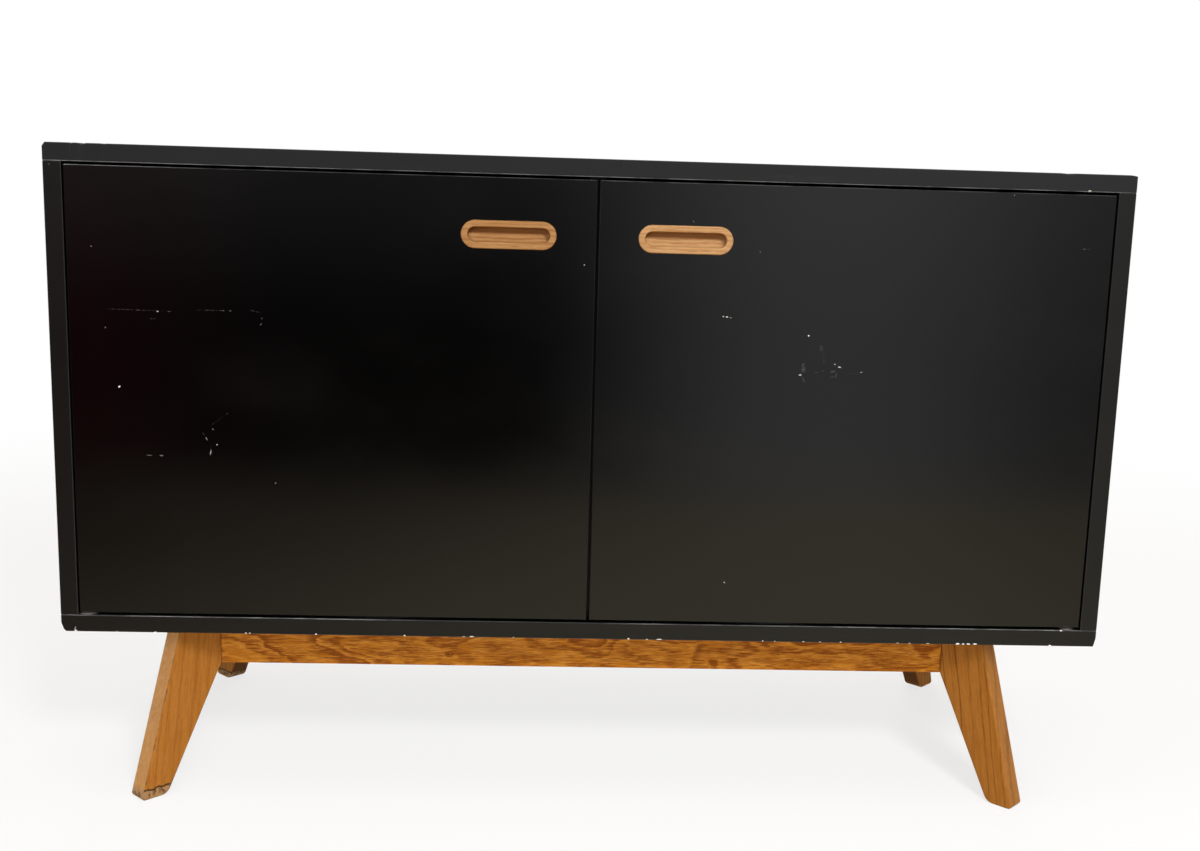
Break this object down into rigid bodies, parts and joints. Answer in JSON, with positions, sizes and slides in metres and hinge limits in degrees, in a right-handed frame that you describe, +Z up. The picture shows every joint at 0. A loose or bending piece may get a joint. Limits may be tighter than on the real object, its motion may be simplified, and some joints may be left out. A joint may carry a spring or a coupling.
{
  "type": "tv cabinet",
  "caption": "Low black lacquered cabinet with inset doors, oak finger pulls and splayed plank legs under an oak frame, with shelves and cable holes inside.",
  "frame": {"origin": "on the floor under the middle of the cabinet", "axes": "+X to the viewer's right along the width, +Y to the back, +Z up; the doors face -Y"},
  "size_m": [1.1, 0.415, 0.689],
  "materials": {
    "black_lacquer": "satin black lacquer on board, worn at the edges",
    "black_hardboard": "matt black painted hardboard",
    "oak": "oiled oak, satin",
    "beech": "bare beech",
    "nickel_plate": "nickel-plated hinge metal",
    "zinc_steel": "zinc-plated steel",
    "clear_rubber": "clear soft bumper"
  },
  "bodies": {
    "carcass": {"arm_screws_left": "zinc_steel", "arm_screws_right": "zinc_steel", "back_panel": "black_hardboard", "back_rail": "oak", "bottom_panel": "black_lacquer", "cam_bolts": "zinc_steel", "cam_locks": "nickel_plate", "carcass_dowels": "beech", "catch_magnets": "zinc_steel", "centre_divider": "black_lacquer", "corner_blocks": "beech", "door_bumpers": "clear_rubber", "frame_screws": "zinc_steel", "front_rail": "oak", "hinge_arm_left_lower": "nickel_plate", "hinge_arm_left_upper": "nickel_plate", "hinge_arm_right_lower": "nickel_plate", "hinge_arm_right_upper": "nickel_plate", "hinge_plate_left_lower": "nickel_plate", "hinge_plate_left_upper": "nickel_plate", "hinge_plate_right_lower": "nickel_plate", "hinge_plate_right_upper": "nickel_plate", "leg_back_left": "oak", "leg_back_right": "oak", "leg_bolts": "zinc_steel", "leg_front_left": "oak", "leg_front_right": "oak", "leg_nuts": "zinc_steel", "leg_washers": "zinc_steel", "plate_screws_left": "zinc_steel", "plate_screws_right": "zinc_steel", "shelf_left": "black_lacquer", "shelf_pins": "zinc_steel", "shelf_right": "black_lacquer", "side_panel_left": "black_lacquer", "side_panel_right": "black_lacquer", "side_rail_left": "oak", "side_rail_right": "oak", "top_panel": "black_lacquer"},
    "left_door": {"cup_screws_left": "zinc_steel", "door_left": "black_lacquer", "handle_left": "oak", "hinge_cup_left_lower": "nickel_plate", "hinge_cup_left_upper": "nickel_plate", "hinge_pins_left": "nickel_plate", "strike_disc_left": "zinc_steel"},
    "right_door": {"cup_screws_right": "zinc_steel", "door_right": "black_lacquer", "handle_right": "oak", "hinge_cup_right_lower": "nickel_plate", "hinge_cup_right_upper": "nickel_plate", "hinge_pins_right": "nickel_plate", "strike_disc_right": "zinc_steel"}
  },
  "joints": [
    {"name": "left_door_hinge", "type": "hinge", "parent": "carcass", "child": "left_door", "pos_m": [-0.504, -0.1935, 0.438], "axis": [0, 0, -1], "range_deg": [0, 95]},
    {"name": "right_door_hinge", "type": "hinge", "parent": "carcass", "child": "right_door", "pos_m": [0.504, -0.1935, 0.438], "axis": [0, 0, 1], "range_deg": [0, 95]}
  ]
}
